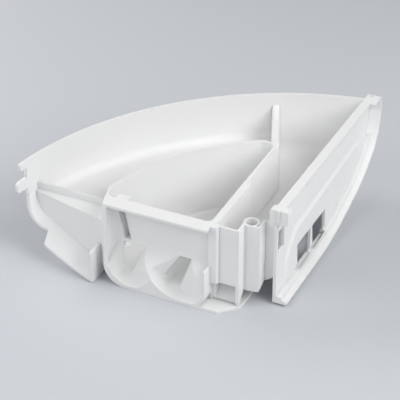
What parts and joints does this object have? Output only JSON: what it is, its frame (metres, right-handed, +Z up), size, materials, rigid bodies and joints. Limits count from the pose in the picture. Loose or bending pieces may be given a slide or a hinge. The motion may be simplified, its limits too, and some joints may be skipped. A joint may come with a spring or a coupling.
{
  "type": "detergent dispenser drawer",
  "caption": "Quarter-round washing machine detergent drawer: curved outer wall, divided compartments, outlet troughs at the near end, a pivot tube and a ribbed plate for a front cover.",
  "frame": {"origin": "bottom centre of the bounding box, on the standing face", "axes": "+X out of the front plate, +Y along the front plate towards its shallow far end, +Z up"},
  "size_m": [0.174, 0.1886, 0.0705],
  "materials": {
    "body": "satin white moulded polypropylene"
  },
  "bodies": {
    "root": {"drawer_body": "body"}
  },
  "joints": []
}
